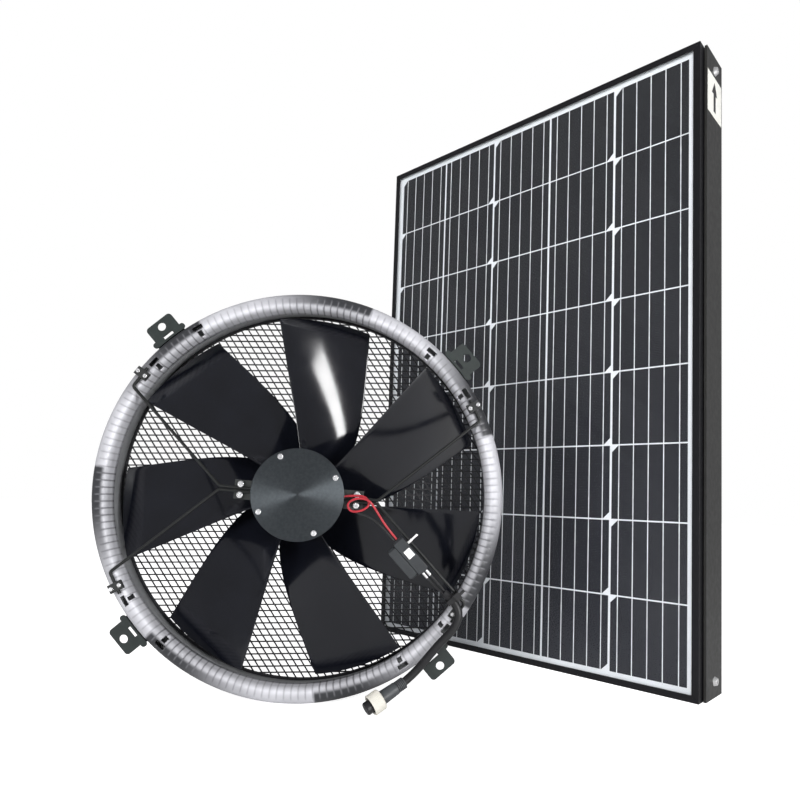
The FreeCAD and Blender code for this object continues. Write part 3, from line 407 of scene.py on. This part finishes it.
def softened(node, width, segments=2):
    """A copy of a CAD node with its hard edges rounded."""
    mesh = frame["nodes"][node].data.copy()
    bm = bmesh.new()
    bm.from_mesh(mesh)
    bmesh.ops.remove_doubles(bm, verts=bm.verts, dist=2e-6)
    bmesh.ops.dissolve_limit(bm, angle_limit=math.radians(2), verts=bm.verts, edges=bm.edges)
    bm.to_mesh(mesh)
    bm.free()
    obj = add(node + "_soft", mesh, SLOT_OF[node], BODY_OF[node], [node], smooth=35)
    bevel = obj.modifiers.new("Bevel", "BEVEL")
    bevel.width = width * MM
    bevel.segments = segments
    bevel.limit_method = "ANGLE"
    bevel.angle_limit = math.radians(40)
    bevel.harden_normals = True
    return obj


# ---------------------------------------------------------------- inlet ring, shroud

def near_bracket(angle):
    """How close a fan angle is to the middle of a bracket, in degrees."""
    return abs(angle % 90.0 - 45.0)


def inlet_ring():
    """The rolled ring with its crimps: puffs between sharp valleys, flatter beside the brackets."""
    outline = [(RING_R, 14.0), (RING_R, 9.0), (RING_R, 5.0)]
    for t in range(0, 90, 5):
        c, s = math.cos(math.radians(t)), math.sin(math.radians(t))
        outline.append((CREST_R + (RING_R - CREST_R) * c, ROLL_Y - (ROLL_Y - CREST_Y) * s))
    for t in range(0, 91, 6):
        c, s = math.cos(math.radians(t)), math.sin(math.radians(t))
        outline.append((CREST_R - (CREST_R - LIP_R) * s, CREST_Y * c))
    outline += [(LIP_R, 6.0), (LIP_R, 13.0)]
    steps = CRIMPS * 10
    weights = [random.uniform(0.55, 1.0) for k in range(CRIMPS)]
    shifts = [random.uniform(-0.15, 0.15) for k in range(CRIMPS)]
    rows = []
    for k in range(steps):
        angle = 360.0 * k / steps
        n = k // 10
        phase = (k % 10) / 10.0 + shifts[n] * math.sin(math.pi * (k % 10) / 10.0)
        valley = (1.0 - abs(math.sin(math.pi * phase)) ** 0.6) * weights[n]
        calm = min(1.0, max(0.15, (near_bracket(angle) - 7.0) / 6.0))
        row = []
        for r, y in outline:
            if y > 5.5:
                depth = 0.0
            elif r < CREST_R:
                depth = 1.15
            else:
                depth = 1.15 * max(0.0, (211.5 - r) / (211.5 - CREST_R)) ** 0.8
            sink = valley * depth * calm
            slope = math.atan2(-(y - ROLL_Y), abs(r - CREST_R) + 0.01)
            side = -1.0 if r >= CREST_R else 1.0
            radius = r + side * sink * math.cos(slope) * 0.6
            row.append(fan_point(radius, angle, y + sink * max(0.2, math.sin(slope))))
        rows.append(row)
    mesh = grid(rows + rows[:1])
    cut_slots(mesh)
    obj = add("inlet_ring_sheet", mesh, "galvanised", "fan_frame", ["inlet_ring"], smooth=60)
    solid = obj.modifiers.new("Thickness", "SOLIDIFY")
    solid.thickness = 0.9 * MM
    solid.offset = -1.0
    return obj


SLOT_AWAY = 8.0       # between a bracket's middle and the slots beside it, degrees
SLOT_FROM, SLOT_TO, SLOT_HALF = 203.5, 209.3, 5.6
SQUARE_FROM, SQUARE_TO, SQUARE_HALF = 197.0, 201.8, 2.4


def cut_slots(mesh):
    """Opens the slots and square holes beside the brackets."""
    bm = bmesh.new()
    bm.from_mesh(mesh)
    gone = []
    for face in bm.faces:
        c = face.calc_center_median() / MM
        r = math.hypot(c.x, c.z)
        angle = math.degrees(math.atan2(c.z, c.x)) - ROLL
        for k in range(4):
            for side in (-SLOT_AWAY, SLOT_AWAY):
                across = math.radians((angle - 45 - 90 * k - side + 180) % 360 - 180) * r
                in_slot = SLOT_FROM < r < SLOT_TO and abs(across) < SLOT_HALF
                in_square = SQUARE_FROM < r < SQUARE_TO and abs(across) < SQUARE_HALF
                if c.y < 3 and (in_slot or in_square):
                    gone.append(face)
    bmesh.ops.delete(bm, geom=list(set(gone)), context="FACES")
    bm.to_mesh(mesh)
    bm.free()


def shroud():
    outline = [(215.5, 14.05), (215.5, 15.05), (200.7, 15.05), (209.0, 58.0), (215.2, 58.0), (215.2, 59.0),
               (208.0, 59.0), (199.5, 15.05), (199.5, 14.05)]
    mesh = lathe(rounded(outline, 0.4), 240, lambda r, a, y: fan_point(r, a, y))
    add("shroud_sheet", mesh, "galvanised_shroud", "fan_frame", ["shroud"], smooth=30)


# ---------------------------------------------------------------- wheel

def front_angle(radius):
    """Where a blade's forward edge stands at a radius, in degrees from the blade's own axis."""
    return 14.8 - 5.9 * math.exp(-(radius - 51.0) / 60.0)


def back_angle(radius):
    """The same for the rear edge."""
    return -7.6 - 38.4 * math.exp(-(radius - 61.0) / 82.0)


def edge_offset(height, law):
    """How far aside of the blade's axis an edge is at a height along it."""
    angle = 0.0
    for step in range(30):
        radius = height / math.cos(math.radians(angle))
        angle = 0.5 * angle + 0.5 * law(radius)
    return height * math.tan(math.radians(angle))


def blade_middle(height, s):
    """Sideways place and depth of the blade's middle surface; s runs from the forward edge to the rear one."""
    z_front = edge_offset(height, front_angle)
    z_back = edge_offset(height, back_angle)
    y_back = 47.0 - 6.0 * max(0.0, height - 44.0) / 198.0
    bulge = 4 * s * (1 - s)
    return z_front + (z_back - z_front) * s, 10.0 + (y_back - 10.0) * s + 6.0 * bulge


def height_at(s, radius_law, low=33.0, high=205.0):
    """The height where the blade reaches the radius the law asks for at that depth."""
    for step in range(24):
        middle = (low + high) / 2
        z, y = blade_middle(middle, s)
        if math.hypot(middle, z) < radius_law(y):
            low = middle
        else:
            high = middle
    return (low + high) / 2


def blade_mesh():
    """One blade along +X before it is turned into place, with rounded edges."""
    chord = 26
    span = 36
    near = []
    far = []
    for j in range(chord + 1):
        s = 0.5 - 0.5 * math.cos(math.pi * j / chord)
        root = height_at(s, lambda y: 43.2)
        tip = height_at(s, lambda y: 192.6 + (y - 9.0) * 5.4 / 39.0)
        line_near = []
        line_far = []
        for i in range(span + 1):
            v = i / span
            h = root + (tip - root) * (1 - (1 - v) ** 1.15)
            z, y = blade_middle(h, s)
            edge = min(1.0, (4 * s * (1 - s) / 0.12)) ** 0.5
            thick = (0.15 + 0.4 * edge) + 0.65 * 4 * s * (1 - s)
            line_near.append((h, y - thick, z))
            line_far.append((h, y + thick, z))
        near.append(line_near)
        far.append(line_far)
    return [[near[j][i] for j in range(chord + 1)] + [far[j][i] for j in range(chord, -1, -1)]
            for i in range(span + 1)]


def wheel():
    rows = blade_mesh()
    for k in range(BLADES):
        turned = math.radians(88.6 + 360.0 * k / BLADES + ROLL)
        c, s = math.cos(turned), math.sin(turned)
        placed = [[Vector((x * c - z * s, y, x * s + z * c)) * MM for x, y, z in row] for row in rows]
        add(f"blade_{k + 1}", grid(placed, closed=True, caps=True), "blade_black", "wheel", smooth=50)
    outline = [(5.02, 9), (42.5, 9), (44, 10.5), (44, 48), (40, 48), (40, 12.5), (12, 12.5), (12, 30), (5.02, 30)]
    mesh = lathe(rounded(outline, 0.8), 128, lambda r, a, y: fan_point(r, a, y))
    add("wheel_hub", mesh, "blade_black", "wheel", ["fan_wheel"], smooth=35)
    for k in range(BLADES):
        rib = softened_box(12, 41, 12, 28, -1.2, 1.2, 51.43 * k)
        add(f"hub_rib_{k + 1}", rib, "blade_black", "wheel", smooth=35)


def softened_box(r0, r1, y0, y1, z0, z1, angle, round_off=0.3):
    """A box on the fan's radius at an angle, with bevelled edges."""
    bm = bmesh.new()
    bmesh.ops.create_cube(bm, size=1.0)
    for v in bm.verts:
        v.co = Vector(((r0 + r1) / 2 + v.co.x * (r1 - r0), (y0 + y1) / 2 + v.co.y * (y1 - y0),
                       (z0 + z1) / 2 + v.co.z * (z1 - z0)))
    bmesh.ops.bevel(bm, geom=bm.edges[:], offset=round_off, segments=2, affect="EDGES", profile=0.5)
    a = math.radians(angle + ROLL)
    for v in bm.verts:
        x, y, z = v.co
        v.co = Vector((x * math.cos(a) - z * math.sin(a), y, x * math.sin(a) + z * math.cos(a))) * MM
    mesh = bpy.data.meshes.new("box")
    bm.to_mesh(mesh)
    bm.free()
    return mesh


# ---------------------------------------------------------------- motor

def motor_cover():
    outline = [(0.02, -25.7), (0.9, -25.95), (1.6, -26.0), (46.6, -26.0), (46.8, -25.95), (47.45, -25.2),
               (47.5, -25.0), (47.5, -23.1), (14.0, -23.0), (14.0, -15.5), (11.02, -15.5),
               (11.02, -22.6), (0.02, -22.6)]
    mesh = lathe(outline, 256, lambda r, a, y: fan_point(r, a, y))
    add("motor_cover_disc", mesh, "turned_black", "fan_frame", ["motor_cover"], smooth=25)


# ---------------------------------------------------------------- cords

def cord_curve(name, points, radius, slot, body, node):
    """A smooth cord through control points in millimetres."""
    data = bpy.data.curves.new(name, "CURVE")
    data.dimensions = "3D"
    spline = data.splines.new("NURBS")
    spline.points.add(len(points) - 1)
    for p, place in zip(spline.points, points):
        p.co = (*(Vector(place) * MM), 1.0)
    spline.order_u = 3
    spline.use_endpoint_u = True
    spline.resolution_u = 12
    data.bevel_depth = radius * MM
    data.bevel_resolution = 6
    data.use_fill_caps = True
    data.materials.append(MATS[slot])
    obj = bpy.data.objects.new(name, data)
    bpy.context.scene.collection.objects.link(obj)
    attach(obj, body)
    if node:
        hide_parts(node)
    return obj


def rolled(x, y, z):
    """A fan point given in the fan's own frame, turned to the row frame, in millimetres."""
    a = math.radians(ROLL)
    return (x * math.cos(a) - z * math.sin(a), y, x * math.sin(a) + z * math.cos(a))


ROD_END = Vector((205.5 * math.cos(math.radians(27.8)), 0, -205.5 * math.sin(math.radians(27.8))))
ROD_WAY = (ROD_END - Vector((82.0, 0, -1.8))).normalized()
ROD_SIDE = Vector((ROD_WAY.z, 0, -ROD_WAY.x))


def by_rod(along, aside, y):
    """A point beside the lower right rod, in the fan's own frame."""
    p = Vector((82.0, y, -1.8)) + ROD_WAY * along + ROD_SIDE * aside
    return (p.x, p.y, p.z)


PLUG_START = Vector((112.3, -19.0, -187.7))
PLUG_WAY = (Vector((79.2, -34.0, -207.0)) - PLUG_START).normalized()
PLUG_UP = (Vector((0, 0, 1)) - PLUG_WAY * PLUG_WAY.z).normalized()
PLUG_ACROSS = PLUG_UP.cross(PLUG_WAY)


def wires():
    red = [(41.0, -16.8, 1.6), (56.0, -17.0, 4.6), (69.0, -17.8, 5.0), (75.0, -18.6, -3.0), (67.0, -19.4, -10.5),
           (55.0, -20.2, -12.5), (50.5, -21.2, -4.0), (60.0, -22.0, 2.5), (73.0, -22.4, 2.0), (82.0, -20.6, -9.0),
           by_rod(22.0, 8.5, -17.0), by_rod(40.5, 9.0, -15.0)]
    black = [(41.0, -18.6, -2.0), (50.0, -18.4, -4.0), (60.0, -16.6, -13.0), (75.0, -15.2, -15.5),
             by_rod(22.0, 11.5, -15.2), by_rod(40.5, 12.0, -15.0)]
    cord_curve("red_wire_lead", [rolled(*p) for p in red], WIRE_R, "red_insulation", "fan_frame", "red_wire")
    cord_curve("black_wire_lead", [rolled(*p) for p in black], WIRE_R, "black_insulation", "fan_frame",
               "black_wire")
    for n, (aside, y, shift) in enumerate(((7.0, -16.2, -1.5), (11.5, -18.8, 1.5))):
        pair = [by_rod(91.2, aside, -15.0), by_rod(101.0, aside, -15.2), by_rod(112.7, 8.6 + shift, y)]
        cord_curve(f"bare_lead_{n + 1}", [rolled(*p) for p in pair], WIRE_R, "black_insulation", "fan_frame",
                   None if n else "lead_pair")


def lead():
    start = rolled(*by_rod(113.6, 8.6, -17.5))
    points = [start, (168.7, -20.8, -106.5), (168.0, -21.2, -126.6), (147.6, -19.5, -148.5),
              tuple(PLUG_START - PLUG_WAY * 13.0), tuple(PLUG_START + PLUG_WAY * 5.5)]
    obj = cord_curve("lead_cable_jacket", points, CABLE_R, "cable_jacket", "fan_frame", "lead_cable")
    return obj, start


lead_obj, lead_start = lead()
wires()


# ---------------------------------------------------------------- plug

def plug_point(radius, angle, distance):
    a = math.radians(angle)
    outward = PLUG_UP * math.cos(a) + PLUG_ACROSS * math.sin(a)
    return (PLUG_START + PLUG_WAY * distance + outward * radius) * MM


def plug():
    relief = [(4.23, 6.0), (4.23, -3.5)]
    for k in range(5):
        d = -3.5 + 1.9 * k
        relief += [(6.0, d), (6.0, d + 1.0), (4.4, d + 1.1), (4.4, d + 1.8)]
    made = [add("plug_relief_ribs", lathe(rounded(relief, 0.12), 64, plug_point), "plug_rubber", "fan_frame",
                ["plug_strain_relief"], smooth=40)]
    body = [(0.02, 6.05), (6.1, 6.05), (6.3, 6.4), (7.0, 24.0), (6.6, 24.4), (5.6, 24.4), (5.6, 37.0),
            (0.02, 37.0)]
    shell = lathe(rounded(body, 0.4), 96, plug_point)
    made.append(add("plug_shell", shell, "plug_grey", "fan_frame", ["plug_body"], smooth=40))
    made.append(add("coupling_ring", knurled_ring(), "nut_white", "plug_nut", ["coupling_nut"], smooth=40))
    made.append(softened("plug_insert", 0.25))
    return made


def knurled_ring():
    """The coupling nut: a smooth sleeve and a collar with grooves all round it."""
    outline = [(5.67, 24.6), (9.8, 24.6), (10.6, 25.4), (10.6, 26.0), (10.6, 36.2), (10.6, 36.8), (10.1, 37.4),
               (8.9, 37.4), (8.9, 28.6), (5.67, 28.6)]
    steps = 360
    rows = []
    for k in range(steps):
        dip = 0.35 * max(0.0, math.cos(2 * math.pi * k / 10)) ** 2
        row = []
        for r, d in outline:
            grooved = r > 10.5 and 25.9 < d < 36.3
            row.append(plug_point(r - dip if grooved else r, 360 * k / steps, d))
        rows.append(row)
    return grid(rows + rows[:1], closed=True)


# ---------------------------------------------------------------- panel, rails and labels

PANEL_TURN = math.radians(-45.65)
PANEL_X, PANEL_Y, PANEL_BOTTOM = 270.6, 203.4, -215.5    # the middle of the panel's bottom front edge
PANEL_HEIGHT = 768.2
LABEL_X = 247.75 + 4.29                                  # just outside the label's face


def panel_point(x, y, z):
    """A point in the panel's own frame: across, back from its front face, and up from its bottom edge."""
    c, s = math.cos(PANEL_TURN), math.sin(PANEL_TURN)
    return Vector((PANEL_X + x * c - y * s, PANEL_Y + x * s + y * c, PANEL_BOTTOM + z)) * MM


def label_arrow():
    """A plain upward arrow printed on the white label."""
    top = PANEL_HEIGHT - 34
    middle = 38.5
    outline = [(middle - 10, top - 16), (middle, top), (middle + 10, top - 16), (middle + 4, top - 16),
               (middle + 4, top - 38), (middle - 4, top - 38), (middle - 4, top - 16)]
    verts = [panel_point(LABEL_X, y, z) for y, z in outline]
    mesh = bpy.data.meshes.new("arrow")
    mesh.from_pydata(verts, [], [tuple(range(len(verts)))])
    add("label_arrow", mesh, "ink", "tilt_frame")


# ---------------------------------------------------------------- light and floor

def area_light(name, place, target, size, power):
    data = bpy.data.lights.new(name, "AREA")
    data.shape = "RECTANGLE"
    data.size, data.size_y = size
    data.energy = power
    obj = bpy.data.objects.new(name, data)
    bpy.context.scene.collection.objects.link(obj)
    obj.location = place
    obj.rotation_mode = "QUATERNION"
    obj.rotation_quaternion = (Vector(target) - Vector(place)).to_track_quat("-Z", "Y")
    return obj


def studio():
    world = bpy.data.worlds.new("Studio")
    bpy.context.scene.world = world
    world.use_nodes = True
    tree = world.node_tree
    nodes = tree.nodes
    background = nodes["Background"]
    coords = nodes.new("ShaderNodeTexCoord")
    split = nodes.new("ShaderNodeSeparateXYZ")
    ramp = nodes.new("ShaderNodeValToRGB")
    ramp.color_ramp.elements[0].position = 0.0
    ramp.color_ramp.elements[0].color = (0.32, 0.32, 0.33, 1)
    ramp.color_ramp.elements[1].position = 1.0
    ramp.color_ramp.elements[1].color = (0.36, 0.36, 0.37, 1)
    facing = nodes.new("ShaderNodeMapRange")
    facing.inputs["From Min"].default_value = 0.1
    facing.inputs["From Max"].default_value = -0.85
    path = nodes.new("ShaderNodeLightPath")
    mix = nodes.new("ShaderNodeMix")
    mix.data_type = "RGBA"
    mix.inputs[7].default_value = (1, 1, 1, 1)
    tree.links.new(coords.outputs["Generated"], split.inputs["Vector"])
    tree.links.new(split.outputs["Y"], facing.inputs["Value"])
    tree.links.new(facing.outputs["Result"], ramp.inputs["Fac"])
    tree.links.new(path.outputs["Is Camera Ray"], mix.inputs[0])
    tree.links.new(ramp.outputs["Color"], mix.inputs[6])
    tree.links.new(mix.outputs[2], background.inputs["Color"])
    background.inputs["Strength"].default_value = 1.0
    bpy.context.scene.view_settings.view_transform = "Standard"
    key = area_light("key", (-0.2, -2.2, 0.9), (0.0, 0.0, 0.0), (0.6, 0.6), 28)
    fill = area_light("panel_fill", (-1.35, -1.9, 0.1), (0.3, 0.2, 0.1), (0.6, 0.6), 26)
    for soft in (key, fill):
        soft.visible_glossy = False
    area_light("right_band", (1.3, -1.4, 0.2), (0.0, 0.0, 0.0), (0.30, 1.0), 24)


def floor():
    mesh = bpy.data.meshes.new("floor")
    corners = [(-6, -5, FLOOR_Z), (6, -5, FLOOR_Z), (6, 9, FLOOR_Z), (-6, 9, FLOOR_Z)]
    mesh.from_pydata(corners, [], [(0, 1, 2, 3)])
    f = Finish("floor")
    colour = f.ramp(f.noise(1.5), [(0.3, (0.88, 0.88, 0.88)), (0.7, (0.92, 0.92, 0.92))])
    f.link(colour, f.shader.inputs["Base Color"])
    f.shader.inputs["Roughness"].default_value = 0.9
    f.shader.inputs["Emission Color"].default_value = (1, 1, 1, 1)
    seen = f.node("ShaderNodeLightPath").outputs["Is Camera Ray"]
    f.link(f.maths("MULTIPLY", seen, 0.85), f.shader.inputs["Emission Strength"])
    mesh.materials.append(f.mat)
    obj = bpy.data.objects.new("floor", mesh)
    bpy.context.scene.collection.objects.link(obj)


# ---------------------------------------------------------------- build

plug_pieces = plug()
inlet_ring()
shroud()
wheel()
motor_cover()
label_arrow()
EDGE_WIDTHS = {
    "mount_brackets": 0.3, "bracket_rivets": 0.25, "strut_plates": 0.3, "strut_screws": 0.2,
    "rod_clamps": 0.2, "clamp_screws": 0.15, "cover_screws": 0.2,
    "connector_socket": 0.7, "connector_plug": 0.7, "cable_tie": 0.3, "white_tie": 0.2,
    "frame_top": 0.4, "frame_bottom": 0.4, "frame_left": 0.4, "frame_right": 0.4,
    "rail_left": 0.5, "rail_right": 0.5, "cross_bars": 0.4, "mount_ears": 0.3,
    "pivot_bolts": 0.3, "lock_bolts": 0.3, "junction_box": 0.8, "cable_glands": 0.3,
    "strut_rods_left": 0.1, "strut_rods_right": 0.1,
}
for node_name, width in EDGE_WIDTHS.items():
    softened(node_name, width)
studio()
floor()
